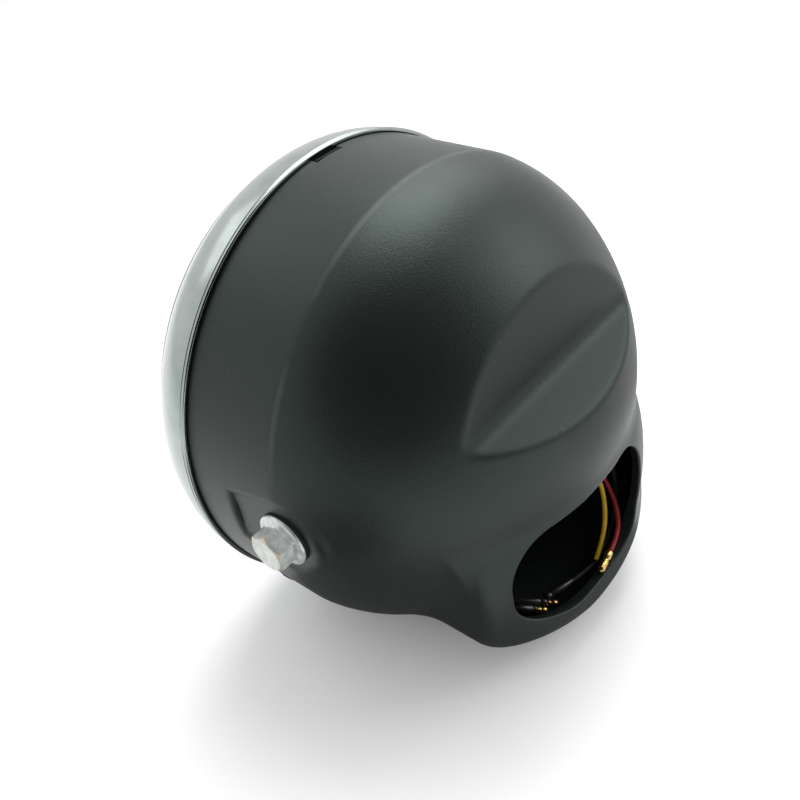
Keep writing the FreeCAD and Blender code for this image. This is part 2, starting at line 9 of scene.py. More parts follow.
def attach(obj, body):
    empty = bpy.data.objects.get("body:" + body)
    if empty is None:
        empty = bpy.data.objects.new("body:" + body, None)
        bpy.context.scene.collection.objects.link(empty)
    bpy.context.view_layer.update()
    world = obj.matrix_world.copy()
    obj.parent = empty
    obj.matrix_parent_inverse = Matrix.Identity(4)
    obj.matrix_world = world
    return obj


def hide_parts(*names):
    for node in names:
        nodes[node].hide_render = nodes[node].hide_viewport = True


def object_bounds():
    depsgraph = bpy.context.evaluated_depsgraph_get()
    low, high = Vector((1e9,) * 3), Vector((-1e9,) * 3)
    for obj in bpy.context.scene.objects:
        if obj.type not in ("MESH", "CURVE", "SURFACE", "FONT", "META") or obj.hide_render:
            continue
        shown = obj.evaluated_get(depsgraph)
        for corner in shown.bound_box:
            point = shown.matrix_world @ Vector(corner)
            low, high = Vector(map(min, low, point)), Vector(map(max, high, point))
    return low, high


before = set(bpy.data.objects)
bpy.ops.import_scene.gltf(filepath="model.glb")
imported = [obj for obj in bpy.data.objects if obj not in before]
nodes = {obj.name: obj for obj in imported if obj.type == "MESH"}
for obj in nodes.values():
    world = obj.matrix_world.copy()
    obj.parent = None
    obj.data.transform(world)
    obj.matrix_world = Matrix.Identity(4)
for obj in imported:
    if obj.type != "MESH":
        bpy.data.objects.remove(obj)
cad_box = [list(corner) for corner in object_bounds()]

# Rear shell
# One moulding in black plastic: a plain band that slips under the trim ring, a crease, a haunch that
# curves in to a dome with a V-shaped groove across it, and a chin with the cable opening. Its skin is
# satin with a fine grain, and a painted highlight runs along the crease on its upper part.
MM = 0.001
band_radius = 82.1
spigot_radius = 79.2
mouth_y = -47.0
shoulder_y = -41.0
crease_y = -1.35
crease_turn = math.radians(8)
crease_softness = 0.22
haunch_radius = 57.0
haunch_end_turn = math.radians(34)
haunch_x = band_radius - haunch_radius * math.cos(crease_turn)
haunch_y = crease_y - haunch_radius * math.sin(crease_turn)
dome_radius = haunch_radius + haunch_x / math.cos(haunch_end_turn)
dome_centre = np.array([0.0, haunch_y - haunch_x * math.tan(haunch_end_turn), 0.0])
dome_pole_y = dome_centre[1] + dome_radius
chin_half_width = 51.0
chin_flank_z = -49.0
chin_depth = 21.5
chin_rear_radius = 90.0
chin_rear_stand = 2.1
chin_rear_z = -38.0
chin_rear_centre = np.array([0.0, dome_pole_y + chin_rear_stand - chin_rear_radius, chin_rear_z])
chin_rim_softness = 9.4
chin_lip = 1.6
chin_lip_softness = 3.6
chin_far_swell = 3.0
chin_swell_across = (42.0, -12.0)
chin_swell_down = (-47.0, -65.0)
chin_rear_margin = 0.06
chin_rear_limit = dome_pole_y - chin_rear_margin
chin_limit_softness = 1.0
chin_root_softness = 34.0
chin_root_least = 0.5
groove_depth = 17.4
groove_z = 26.0
groove_line = np.array([0.0, dome_pole_y - groove_depth, groove_z])
groove_upper_lean = math.radians(4.6)
groove_lower_fall = math.radians(28.0)
groove_root_softness = 3.4
groove_edge_softness = 0.7
seat_x = 80.5
seat_radius = 13.4
seat_front = 20.0
seat_front_half_width = 9.0
seat_flank = 0.85
seat_draft = 0.6
seat_foot_x = 71.0
seat_edge_softness = 2.4
seat_root_softness = 0.5
seat_cut_softness = 1.8
pad_x = 73.5
pad_radius = 12.0
screw_y = -31.0
screw_angle = math.radians(41)
screw_boss_radius = 6.0
screw_boss_end = 76.1
shell_wall = 2.5
opening_half_width = 41.5
opening_top_z = -14.0
opening_side_z = -36.0
opening_depth = 25.0
opening_corner = 18.0
opening_far_half_width = 31.0
opening_edge = 0.8


def soft_min(first, second, width):
    """The smaller of two distances, rounded where they are within the width of each other."""
    near = np.maximum(width - np.abs(first - second), 0) / np.maximum(width, 1e-6)
    return np.minimum(first, second) - near * near * width / 4


def soft_max(first, second, width):
    return -soft_min(-first, -second, width)


def eased(value, start, end):
    """0 at the start, 1 at the end, smooth between."""
    share = np.clip((value - start) / (end - start), 0, 1)
    return share * share * (3 - 2 * share)


def bowed_outline(x, below, half_width, depth):
    """Distance outside a U: straight flanks above, half an ellipse under them."""
    across = np.maximum(np.abs(x), 0.01) / half_width
    down = np.minimum(below, 0) / depth
    share = np.hypot(across, down)
    slope = np.hypot(across / half_width, down / depth) + 1e-9
    return share * (share - 1) / slope


def dome_distance(place, inset=0.0):
    """Distance outside the spigot, the band, the haunch and the dome."""
    radius = np.hypot(place[..., 0], place[..., 2])
    y = place[..., 1]
    ball = np.hypot(radius, y - dome_centre[1]) - dome_radius
    haunch = np.hypot(radius - haunch_x, np.maximum(y - haunch_y, 0)) - haunch_radius
    on_haunch = (y - haunch_y) * math.cos(haunch_end_turn) < (radius - haunch_x) * math.sin(haunch_end_turn)
    body = soft_max(np.where(on_haunch, haunch, ball), radius - band_radius, crease_softness)
    return np.where(y < shoulder_y + inset, radius - spigot_radius, body)


def chin_hollow_distance(place):
    """Distance outside the chin that the hollow follows, which ends in a rounded rear face."""
    outline = bowed_outline(place[..., 0], place[..., 2] - chin_flank_z, chin_half_width, chin_depth)
    rear = np.linalg.norm(place - chin_rear_centre, axis=-1) - chin_rear_radius
    return soft_max(outline, rear, chin_rim_softness)


def chin_distance(place):
    """Distance outside the chin, whose lower lip is thickened, most of all on the far side."""
    x, y, z = (place[..., axis] for axis in range(3))
    outline = bowed_outline(x, z - chin_flank_z, chin_half_width, chin_depth + chin_lip)
    swell = chin_far_swell * eased(x, *chin_swell_across) * eased(z, *chin_swell_down)
    rear_radius = chin_rear_radius + chin_lip / 2 + swell
    rear = np.linalg.norm(place - chin_rear_centre, axis=-1) - rear_radius
    rear = soft_max(rear, y - chin_rear_limit, chin_limit_softness)
    return soft_max(outline, rear, chin_lip_softness)


def slope_of(distance, place):
    """Unit normal of a distance field, by small steps."""
    step = 0.05
    parts = []
    for axis in np.eye(3) * step:
        parts.append(distance(place + axis) - distance(place - axis))
    normal = np.stack(parts, axis=-1)
    return normal / np.maximum(np.linalg.norm(normal, axis=-1, keepdims=True), 1e-9)


def plain_distance(place, inset=0.0):
    """Distance outside dome, chin and groove."""
    dome = dome_distance(place, inset)
    chin_form = chin_hollow_distance if inset else chin_distance
    chin = chin_form(place)
    meeting = np.sum(slope_of(dome_distance, place) * slope_of(chin_form, place), axis=-1)
    body = soft_min(dome, chin, chin_root_softness * (1 - meeting) / 2 + chin_root_least)
    from_line = place - groove_line
    upper = from_line[..., 1] * math.cos(groove_upper_lean) + from_line[..., 2] * math.sin(groove_upper_lean)
    lower = from_line[..., 1] * math.sin(groove_lower_fall) + from_line[..., 2] * math.cos(groove_lower_fall)
    return soft_max(body, soft_min(upper, lower, groove_root_softness), groove_edge_softness)


def seat_outline(place):
    """Distance outside a bolt seat's outline: round behind, with flanks to a narrower front edge."""
    y = place[..., 1]
    z = np.abs(place[..., 2])
    corner_turn = math.atan2(seat_front_half_width, -seat_front)
    touch_turn = corner_turn - math.acos(seat_radius / math.hypot(seat_front, seat_front_half_width))
    flank = y * math.cos(touch_turn) + z * math.sin(touch_turn) - seat_radius
    ahead = np.maximum(flank, -y - seat_front)
    return np.where(np.arctan2(z, y) < touch_turn, np.hypot(y, z) - seat_radius, ahead)


def shell_distance(place):
    """Distance outside the whole shell, opening and holes apart."""
    outline = seat_outline(place)
    sunk = seat_x - np.abs(place[..., 0])
    flank = (outline - sunk * seat_flank) / math.hypot(1, seat_flank)
    boss = soft_max(flank, -sunk, seat_edge_softness)
    boss = np.maximum(boss, sunk - (seat_x - seat_foot_x))
    body = soft_min(plain_distance(place), boss, seat_root_softness)
    cut = np.maximum((outline + sunk * seat_draft) / math.hypot(1, seat_draft), sunk)
    return soft_max(body, -cut, seat_cut_softness)


def hollow_distance(place):
    """Distance outside the hollow, which leaves pads for the bolts' nuts and bosses for the screws."""
    spread = np.hypot(place[..., 1], place[..., 2])
    pad = np.maximum(spread - pad_radius, pad_x - np.abs(place[..., 0]))
    out = np.abs(place[..., 0]) * math.cos(screw_angle) - place[..., 2] * math.sin(screw_angle)
    across = np.abs(place[..., 0]) * math.sin(screw_angle) + place[..., 2] * math.cos(screw_angle)
    boss = np.maximum(np.hypot(across, place[..., 1] - screw_y) - screw_boss_radius, screw_boss_end - out)
    hollow = plain_distance(place, shell_wall) + shell_wall
    return np.maximum(hollow, -np.minimum(pad, boss))


def opening_distance(place):
    """Distance outside the opening's outline, seen along the lamp's axis."""
    x = np.abs(place[..., 0])
    z = place[..., 2]
    half_width = np.where(place[..., 0] < 0, opening_far_half_width, opening_half_width)
    over_x = x - (half_width - opening_corner)
    over_z = z - (opening_top_z - opening_corner)
    corner = np.hypot(np.maximum(over_x, 0), np.maximum(over_z, 0))
    upper = corner + np.minimum(np.maximum(over_x, over_z), 0) - opening_corner
    lower = bowed_outline(x, z - opening_side_z, half_width, opening_depth)
    return np.where(z > opening_side_z, upper, lower)


halvings = 25


def halving(low, high, too_far):
    """Where a test on a rising value first says it is too far."""
    for _ in range(halvings):
        middle = (low + high) / 2
        far = too_far(middle)
        high = np.where(far, middle, high)
        low = np.where(far, low, middle)
    return (low + high) / 2


# The shell is a ring of lines that run from the opening's edge over the dome to the mouth
shell_lines = 420
line_crowding = 0.3
reach_limits = (20.0, 140.0)
opening_turn_limits = (0.03, 1.2)
opening_tilt = math.atan2((opening_top_z + opening_side_z - opening_depth) / 2, dome_radius)
bearing = np.linspace(0, 2 * math.pi, shell_lines, endpoint=False)
bearing -= line_crowding / 2 * np.sin(2 * bearing)
axis_out = np.array([0.0, math.cos(opening_tilt), math.sin(opening_tilt)])
axis_side = np.array([1.0, 0.0, 0.0])
axis_up = np.array([0.0, -math.sin(opening_tilt), math.cos(opening_tilt)])
bearing_way = np.outer(np.cos(bearing), axis_side) + np.outer(np.sin(bearing), axis_up)


def on_form(distance, turn):
    """The form's points at given angles from the opening's middle, one row per angle."""
    turn = turn[..., None]
    way = axis_out * np.cos(turn) + bearing_way * np.sin(turn)

    def outside(reach):
        return distance(dome_centre + way * reach[..., None]) > 0

    reach = halving(*(np.full(turn.shape[:-1], limit) for limit in reach_limits), outside)
    return dome_centre + way * reach[..., None]


def opening_turn(distance, margin):
    """The angle at which each line leaves the opening."""
    return halving(*(np.full(shell_lines, limit) for limit in opening_turn_limits),
                   lambda turn: opening_distance(on_form(distance, turn)) > margin)


def turn_to(radius, y):
    """The angle at which each line passes a circle about the lamp's axis."""
    level = (y - dome_centre[1]) / math.hypot(radius, y - dome_centre[1])
    along = axis_out[1]
    sideways = bearing_way[:, 1]
    return np.arctan2(sideways, along) + np.arccos(level / np.hypot(along, sideways))


crease_margin = 1.4
shoulder_gap = 0.01
outer_counts = (94, 8, 64, 1, 3)
inner_counts = (30, 2, 16, 1, 2)
edge_angles = (90, 70, 50, 30, 12)


def form_rows(distance, margin, inset, counts):
    """Rows of points from the opening to the crease, over it, to the shoulder and to the mouth."""
    band = band_radius - inset
    spigot = spigot_radius - inset
    shoulder = shoulder_y + inset
    stops = [opening_turn(distance, margin),
             turn_to(band, crease_y + crease_margin), turn_to(band, crease_y - crease_margin),
             turn_to(band, shoulder + shoulder_gap), turn_to(spigot, shoulder - shoulder_gap),
             turn_to(spigot, mouth_y)]
    rows = [stops[0]]
    for start, end, count in zip(stops, stops[1:], counts):
        rows.extend(start + (end - start) * (step + 1) / count for step in range(count))
    return on_form(distance, np.array(rows))


outer = form_rows(shell_distance, opening_edge, 0, outer_counts)
inner = form_rows(hollow_distance, opening_edge / 2, shell_wall, inner_counts)
edge_normal = slope_of(shell_distance, outer[0])
edge_inward = -slope_of(opening_distance, outer[0])
edge_inward -= edge_normal * np.sum(edge_inward * edge_normal, axis=-1, keepdims=True)
edge_inward /= np.linalg.norm(edge_inward, axis=-1, keepdims=True)
edge_rows = []
for angle in edge_angles:
    turn = math.radians(angle)
    edge_rows.append(outer[0] - edge_normal * opening_edge * (1 - math.cos(turn))
                     + edge_inward * opening_edge * math.sin(turn))


def loop_faces(rows, count):
    """Faces of a closed sleeve: rings of points, with the last ring joined to the first."""
    index = np.arange(rows * count).reshape(rows, count)
    after = np.roll(index, -1, axis=0)
    corners = [index, after, np.roll(after, -1, axis=1), np.roll(index, -1, axis=1)]
    return np.stack(corners, axis=-1).reshape(-1, 4)


sharp_edge = 40


def new_piece(name, points, faces, sharp_angle=sharp_edge):
    """A smooth mesh from points in millimetres."""
    mesh = bpy.data.meshes.new(name)
    mesh.from_pydata((np.asarray(points) * MM).tolist(), [], [list(map(int, face)) for face in faces])
    work = bmesh.new()
    work.from_mesh(mesh)
    bmesh.ops.remove_doubles(work, verts=work.verts, dist=1e-7)
    bmesh.ops.recalc_face_normals(work, faces=work.faces)
    work.to_mesh(mesh)
    work.free()
    mesh.shade_smooth()
    mesh.set_sharp_from_angle(angle=math.radians(sharp_angle))
    piece = bpy.data.objects.new(name, mesh)
    bpy.context.scene.collection.objects.link(piece)
    return piece


def fit_piece(piece, material, slot, *stands_for):
    """Gives a piece its finish and its place on the lamp."""
    piece.data.materials.clear()
    piece.data.materials.append(material)
    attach(piece, "root")
    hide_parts(*stands_for)


class Signal:
    """A node socket that takes part in arithmetic, and a maker of other nodes."""

    def __init__(self, tree, socket=None):
        self.tree = tree
        self.socket = socket

    def node(self, kind, settings=None, inputs=None, output=0):
        """Adds a node: its settings first, then the values or links of its sockets."""
        made = self.tree.nodes.new(kind)
        for name, value in (settings or {}).items():
            setattr(made, name, value)
        for name, value in (inputs or {}).items():
            if isinstance(value, Signal):
                self.tree.links.new(value.socket, made.inputs[name])
            else:
                made.inputs[name].default_value = value
        return Signal(self.tree, made.outputs[output])

    def maths(self, operation, first, second):
        return self.node("ShaderNodeMath", {"operation": operation}, {0: first, 1: second})

    def __add__(self, other):
        return self.maths("ADD", self, other)

    def __radd__(self, other):
        return self.maths("ADD", other, self)

    def __sub__(self, other):
        return self.maths("SUBTRACT", self, other)

    def __rsub__(self, other):
        return self.maths("SUBTRACT", other, self)

    def __mul__(self, other):
        return self.maths("MULTIPLY", self, other)

    def __rmul__(self, other):
        return self.maths("MULTIPLY", other, self)

    def band(self, low, high):
        """0 below the low value, 1 above the high one, smooth between."""
        return self.node("ShaderNodeMapRange", {"interpolation_type": "SMOOTHSTEP"},
                         {"Value": self, "From Min": low, "From Max": high})

    def noise(self, place, scale, detail=2.0, roughness=0.5):
        return self.node("ShaderNodeTexNoise", None,
                         {"Vector": place, "Scale": scale, "Detail": detail, "Roughness": roughness})

    def mixed(self, share, first, second):
        """One colour turning into another."""
        return self.node("ShaderNodeMix", {"data_type": "RGBA"}, {0: share, 6: first, 7: second}, output=2)


def finish(name, inputs):
    """A new material: inputs(start, place) returns the values and links of its shader."""
    material = bpy.data.materials.new(name)
    material.use_nodes = True
    tree = material.node_tree
    shader = tree.nodes["Principled BSDF"]
    start = Signal(tree)
    place = start.node("ShaderNodeTexCoord", output=3)
    for socket, value in inputs(start, place).items():
        if isinstance(value, Signal):
            tree.links.new(value.socket, shader.inputs[socket])
        else:
            shader.inputs[socket].default_value = value
    return material


def satin_black(start, place):
    grain = start.noise(place, 1800, 3, 0.6)
    coarse = start.noise(place, 420, 2)
    cloud = start.noise(place, 26, 3)
    dust = start.node("ShaderNodeTexVoronoi", None, {"Vector": place, "Scale": 150}, output=0)
    speck = 1 - dust.band(0.035, 0.06)
    along = start.node("ShaderNodeSeparateXYZ", None, {0: place}, output=1)
    height = Signal(start.tree, along.socket.node.outputs[2])
    # Painted highlight: a thin lighter line along the crease, on the shell's upper part only and patchy with
    # the cloud noise, stands in for light catching the crease.
    crease_highlight_y = (crease_y + 0.7) * MM
    from_crease = start.node("ShaderNodeMath", {"operation": "ABSOLUTE"}, {0: along - crease_highlight_y})
    painted_crease_highlight = (1 - from_crease.band(0.0002, 0.0016)) * height.band(0.015, 0.045) * cloud.band(0.3, 0.6)
    plain = start.mixed(cloud, (0.0055, 0.0070, 0.0066, 1), (0.0075, 0.0092, 0.0087, 1))
    base = start.mixed(painted_crease_highlight, plain, (0.040, 0.043, 0.040, 1))
    skin = start.mixed(speck * cloud.band(0.52, 0.6) * 0.5, base, (0.08, 0.085, 0.082, 1))
    bump = start.node("ShaderNodeBump", None,
                      {"Strength": 0.9, "Distance": 0.00009, "Height": grain + coarse * 0.12})
    return {"Base Color": skin, "Roughness": 0.35 + cloud * 0.08, "Normal": bump,
            "Specular IOR Level": 0.43, "Specular Tint": (0.78, 1.0, 0.93, 1)}


shell_points = np.concatenate([np.stack(edge_rows), outer, inner[::-1]]).reshape(-1, 3)
shell = new_piece("moulded_shell", shell_points,
                  loop_faces(len(edge_rows) + len(outer) + len(inner), shell_lines))

# Holes in the shell
# Bores for the side bolts and the ring's screws, counterbores for the washers, and the slot for the
# ring's top hook. They are drilled and milled after moulding.
bolt_bore = 4.2
washer_bore = 9.3
washer_back_x = 79.0
screw_bore = 2.7
slot_half_width = 5.8
slot_start_y = -38.0
slot_end_y = -34.8
slot_depth = 12.0
bore_segments = 64


def drill(work, radius, start, end):
    """Adds a round bar to a mesh of cutting tools."""
    start, end = Vector(start) * MM, Vector(end) * MM
    turn = (end - start).to_track_quat("Z", "Y").to_matrix().to_4x4()
    bmesh.ops.create_cone(work, cap_ends=True, segments=bore_segments, radius1=radius * MM,
                          radius2=radius * MM, depth=(end - start).length,
                          matrix=Matrix.Translation((start + end) / 2) @ turn)


tools = bmesh.new()
for side in (1, -1):
    drill(tools, washer_bore, (side * washer_back_x, 0, 0), (side * (seat_x + pad_radius), 0, 0))
    drill(tools, bolt_bore, (side * (pad_x - shell_wall), 0, 0), (side * seat_x, 0, 0))
    out = Vector((side * math.cos(screw_angle), 0, -math.sin(screw_angle)))
    along = Vector((0, screw_y, 0))
    bore_start = out * (screw_boss_end - shell_wall) + along
    bore_end = out * (band_radius + shell_wall) + along
    drill(tools, screw_bore, bore_start, bore_end)
slot_size = (2 * slot_half_width * MM, (slot_end_y - slot_start_y) * MM, slot_depth * MM)
slot_place = Matrix.Translation(Vector((0, (slot_start_y + slot_end_y) / 2, band_radius)) * MM)
bmesh.ops.create_cube(tools, size=1, matrix=slot_place @ Matrix.Diagonal((*slot_size, 1)))
tool_mesh = bpy.data.meshes.new("shell_tools")
tools.to_mesh(tool_mesh)
tools.free()
tool = bpy.data.objects.new("shell_tools", tool_mesh)
bpy.context.scene.collection.objects.link(tool)
cut = shell.modifiers.new("holes", "BOOLEAN")
cut.operation = "DIFFERENCE"
cut.solver = "EXACT"
cut.use_self = True
cut.object = tool
bpy.context.view_layer.update()
drilled = bpy.data.meshes.new_from_object(shell.evaluated_get(bpy.context.evaluated_depsgraph_get()))
shell.modifiers.clear()
shell.data = drilled
bpy.data.objects.remove(tool)
drilled.set_sharp_from_angle(angle=math.radians(sharp_edge))
fit_piece(shell, finish("satin_black", satin_black), "shell_black", "rear_shell")

# Side bolts, washers and nuts
# Zinc-plated flange bolts with chamfered hexagon heads, each on a rubber washer, with a plain nut on
# the pad inside. They clamp the lamp's brackets and set its aim.
flange_x = 81.0
flange_radius = 9.25
flange_height = 1.6
hex_flats = 12.0
hex_height = 6.0
hex_phase = math.radians(25)
shank_radius = 4.0
shank_chamfer = 0.8
bolt_length = 20.0
bolt_segments = 144
bolt_sharp_edge = 28
middle_radius = 0.01
dish_radius = 3.2
dish_depth = 0.2
dish_edge_radius = 5.0
chamfer_inset = 0.25
chamfer_fall = math.tan(math.radians(30))
edge_round = 0.18
neck_round = 0.4
flange_slope_radius = 7.4
flange_rim_round = 0.45


def hexagon_radius(angle):
    """Radius of the hexagon at an angle about the bolt."""
    from_flat = np.mod(angle - hex_phase, math.pi / 3) - math.pi / 6
    return hex_flats / 2 / np.cos(from_flat)


turn = np.linspace(0, 2 * math.pi, bolt_segments, endpoint=False)
hexed = hexagon_radius(turn)
hex_top = flange_height + hex_height
chamfer_radius = hex_flats / 2 - chamfer_inset
chamfer_drop = np.maximum(hexed - chamfer_radius, 0) * chamfer_fall
bolt_rings = [
    (middle_radius, hex_top - dish_depth * 1.1),
    (dish_radius, hex_top - dish_depth),
    (dish_edge_radius - 0.6, hex_top - dish_depth * 0.3),
    (dish_edge_radius, hex_top),
    (chamfer_radius, hex_top),
    (hexed - edge_round, hex_top - chamfer_drop + edge_round * chamfer_fall * 0.6),
    (hexed - edge_round * 0.3, hex_top - chamfer_drop - edge_round * 0.3),
    (hexed, hex_top - chamfer_drop - edge_round),
    (hexed, flange_height + 0.9),
    (hexed + 0.05, flange_height + 0.35),
    (hexed + neck_round, flange_height + 0.1),
    (np.maximum(flange_slope_radius, hexed + neck_round + 0.05), flange_height - 0.1),
    (flange_radius - flange_rim_round, flange_height - 0.5),
    (flange_radius - 0.12, flange_height - 0.7),
    (flange_radius, flange_height - 1.0),
    (flange_radius, 0.2),
    (flange_radius - 0.2, 0),
    (shank_radius + 0.3, 0),
    (shank_radius, -0.3),
    (shank_radius, shank_chamfer - bolt_length),
    (shank_radius - shank_chamfer, -bolt_length),
    (middle_radius, -bolt_length),
]


def zinc_plate(start, place):
    apart = start.node("ShaderNodeSeparateXYZ", None, {0: place})
    along = start.node("ShaderNodeMath", {"operation": "ABSOLUTE"}, {0: apart})
    across = start.node("ShaderNodeVectorMath", {"operation": "LENGTH"},
                        {0: start.node("ShaderNodeVectorMath", {"operation": "MULTIPLY"},
                                       {0: place, 1: (0, 1, 1)})}, output=1)
    stretched = start.node("ShaderNodeVectorMath", {"operation": "MULTIPLY"}, {0: place, 1: (0.06, 1, 1)})
    streak = start.noise(stretched, 5200, 2)
    pits = start.noise(place, 1700, 3, 0.65)
    blotch = start.noise(place, 420, 3, 0.6)
    top = (flange_x + hex_top) * MM
    on_top = along.band(top - 0.0004, top - 0.0001)
    near_edge = across.band(0.0050, 0.0060) * along.band(top - 0.0016, top - 0.0003)
    clean = start.mixed(blotch.band(0.3, 0.7), (0.52, 0.55, 0.53, 1), (0.70, 0.73, 0.71, 1))
    tinted = start.mixed(near_edge * blotch.band(0.35, 0.65) * 0.75, clean, (0.55, 0.43, 0.27, 1))
    marked = start.mixed(on_top * pits.band(0.58, 0.7) * 0.5, tinted, (0.22, 0.23, 0.21, 1))
    bump = start.node("ShaderNodeBump", None, {
        "Strength": 0.4, "Distance": 0.00008,
        "Height": streak * (1 - on_top) * 0.5 + pits * on_top})
    return {"Base Color": marked, "Metallic": 0.7, "Roughness": 0.30 + blotch * 0.16 + on_top * 0.10,
            "Normal": bump}


zinc = finish("zinc_plate", zinc_plate)


def black_rubber(start, place):
    powder = start.noise(place, 900, 3)
    bump = start.node("ShaderNodeBump", None, {"Strength": 0.3, "Distance": 0.00005, "Height": powder})
    return {"Base Color": start.mixed(powder, (0.010, 0.010, 0.010, 1), (0.020, 0.020, 0.019, 1)),
            "Roughness": 0.62 + powder * 0.2, "Normal": bump}


def dress(material, *names):
    """Gives solids that keep their own shape a finish."""
    for name in names:
        nodes[name].data.materials.clear()
        nodes[name].data.materials.append(material)


rubber = finish("black_rubber", black_rubber)
washer_radius = 9.1
washer_front_x = flange_x - 0.02
washer_sharp_edge = 30
washer_rings = [(bolt_bore, washer_back_x), (washer_radius, washer_back_x),
                (washer_radius, washer_front_x), (bolt_bore, washer_front_x)]


def turned_ring(side, radius, x):
    """A ring of points about a side bolt's axis."""
    return np.stack([side * (x + 0 * turn), radius * np.cos(turn), radius * np.sin(turn)], axis=-1)


for side, name in ((1, "right"), (-1, "left")):
    rings = [turned_ring(side, radius, flange_x + out) for radius, out in bolt_rings]
    bolt_faces = loop_faces(len(rings), bolt_segments)[:-bolt_segments]
    bolt = new_piece("flange_bolt_" + name, np.concatenate(rings), bolt_faces, bolt_sharp_edge)
    fit_piece(bolt, zinc, "zinc_steel", "side_bolt_" + name)
    rings = [turned_ring(side, radius, x) for radius, x in washer_rings]
    washer_faces = loop_faces(len(rings), bolt_segments)
    washer = new_piece("rubber_washer_" + name, np.concatenate(rings), washer_faces, washer_sharp_edge)
    fit_piece(washer, rubber, "rubber", "bolt_washer_" + name)
dress(zinc, "bolt_nut_right", "bolt_nut_left")

# Trim ring
# A rolled steel sheet, chrome plated, with a beaded rear hem round the shell's band and a front lip
# that holds the lens. It is the bright rim seen from behind.
ring_bore_rear = 82.4
ring_radius = 83.7
ring_rear_y = -38.0
ring_bead = 0.7
ring_bead_groove = 0.3
ring_groove_width = 0.5
ring_groove_depth = 0.12
ring_corner = (0.1, 0.15)
ring_sheet = 1.0
ring_middle = (80.6, -52.0)
ring_nose = (74.6, -60.6)
ring_lip_front = (72.6, -62.8)
ring_lip = (70.6, -61.8)
ring_segments = 300
ring_sharp_edge = 50


def arc_points(start, middle, end, count):
    """Points of the arc through three points of a profile, without its end."""
    start, middle, end = (np.array(point, float) for point in (start, middle, end))
    matrix = 2 * np.array([middle - start, end - start])
    target = [middle @ middle - start @ start, end @ end - start @ start]
    centre = np.linalg.solve(matrix, target)
    first, between, last = (math.atan2(*(point - centre)[::-1]) for point in (start, middle, end))
    sweep = (last - first) % (2 * math.pi)
    if (between - first) % (2 * math.pi) > sweep:
        sweep -= 2 * math.pi
    angles = first + sweep * np.linspace(0, 1, count, endpoint=False)
    radius = np.linalg.norm(start - centre)
    return [tuple(centre + radius * np.array([math.cos(a), math.sin(a)])) for a in angles]


def lathe(name, profile, segments, sharp_angle=sharp_edge):
    """A closed profile of radius and place along the lamp's axis, turned round it."""
    angles = np.linspace(0, 2 * math.pi, segments, endpoint=False)
    rings = []
    for radius, y in profile:
        ring = [radius * np.cos(angles), np.full(segments, y), radius * np.sin(angles)]
        rings.append(np.stack(ring, axis=-1))
    return new_piece(name, np.concatenate(rings), loop_faces(len(rings), segments), sharp_angle)


bead_turn = math.acos(1 - ring_bead_groove / ring_bead)
bead_x = ring_radius - ring_bead
bead_y = ring_rear_y - ring_bead
groove_point = (bead_x + ring_bead * math.cos(bead_turn), bead_y - ring_bead * math.sin(bead_turn))
face_start = (ring_radius - ring_bead_groove / 2, groove_point[1] - ring_groove_width)
groove_low = ((groove_point[0] + face_start[0]) / 2 - ring_groove_depth,
              (groove_point[1] + face_start[1]) / 2)
back_nose = (ring_nose[0] - ring_sheet, ring_nose[1] + ring_sheet)
back_middle = (ring_middle[0] - ring_sheet, ring_middle[1])
back_end = (ring_bore_rear, face_start[1])
ring_profile = (
    arc_points(face_start, ring_middle, ring_nose, 34)
    + arc_points(ring_nose, ring_lip_front, ring_lip, 12)
    + [ring_lip, (ring_lip[0] + ring_sheet / 2, ring_lip[1] + ring_sheet)]
    + arc_points(back_nose, back_middle, back_end, 24)
    + [back_end, (ring_bore_rear, ring_rear_y - ring_corner[1]),
       (ring_bore_rear + ring_corner[0], ring_rear_y)]
    + arc_points((bead_x, ring_rear_y), (ring_radius, bead_y), groove_point, 16)
    + arc_points(groove_point, groove_low, face_start, 6)
)


def chrome_plate(start, place):
    ripple = start.noise(place, 38, 2)
    smear = start.noise(place, 90, 4, 0.6)
    bump = start.node("ShaderNodeBump", None, {"Strength": 0.10, "Distance": 0.0012, "Height": ripple})
    tone = start.mixed(smear.band(0.35, 0.75), (0.38, 0.42, 0.41, 1), (0.32, 0.36, 0.35, 1))
    return {"Base Color": tone, "Metallic": 1.0, "Roughness": 0.17 + smear * 0.08, "Normal": bump}


chrome = finish("chrome_plate", chrome_plate)
plated_ring = lathe("plated_ring", ring_profile, ring_segments, ring_sharp_edge)
fit_piece(plated_ring, chrome, "chrome_plate", "trim_ring")

# Tabs, hook, clip nuts and screws of the ring
# Bent steel strips on the ring's inside reach back into the shell. Two black pan-head screws go
# through the band into clip nuts on the tabs, and a hook at the top catches in the slot.
head_radius = 5.0
head_height = 3.0
head_edge_height = 1.5
head_crown = 0.35
head_crown_power = 3.2
head_radii = (0.02, 0.35, 0.6, 0.9, 1.3, 1.7, 2.1, 2.4, 2.7, 3.2, 3.7, 4.2, 4.6, 4.85)
head_foot = 0.02
cross_reach = 2.1
cross_end = 0.5
cross_depth = 1.5
cross_half_width = 0.45
cross_flank = 0.2
thread_radius = 2.5
thread_length = 12.0
thread_chamfer = 0.4
screw_segments = 96
screw_sharp_edge = 30


def black_oxide(start, place):
    cloud = start.noise(place, 260, 3)
    return {"Base Color": start.mixed(cloud, (0.005, 0.006, 0.006, 1), (0.011, 0.012, 0.012, 1)),
            "Roughness": 0.5 + cloud * 0.18, "Specular IOR Level": 0.08}


def strip_steel(start, place):
    cloud = start.noise(place, 300, 3)
    return {"Base Color": start.mixed(cloud, (0.34, 0.35, 0.35, 1), (0.48, 0.49, 0.48, 1)),
            "Metallic": 1.0, "Roughness": 0.34 + cloud * 0.2}


black_steel = finish("black_oxide", black_oxide)
steel = finish("strip_steel", strip_steel)
dress(black_steel, "ring_hook")
dress(steel, "ring_tabs", "ring_clip_nuts")
screw_turn = np.linspace(0, 2 * math.pi, screw_segments, endpoint=False)


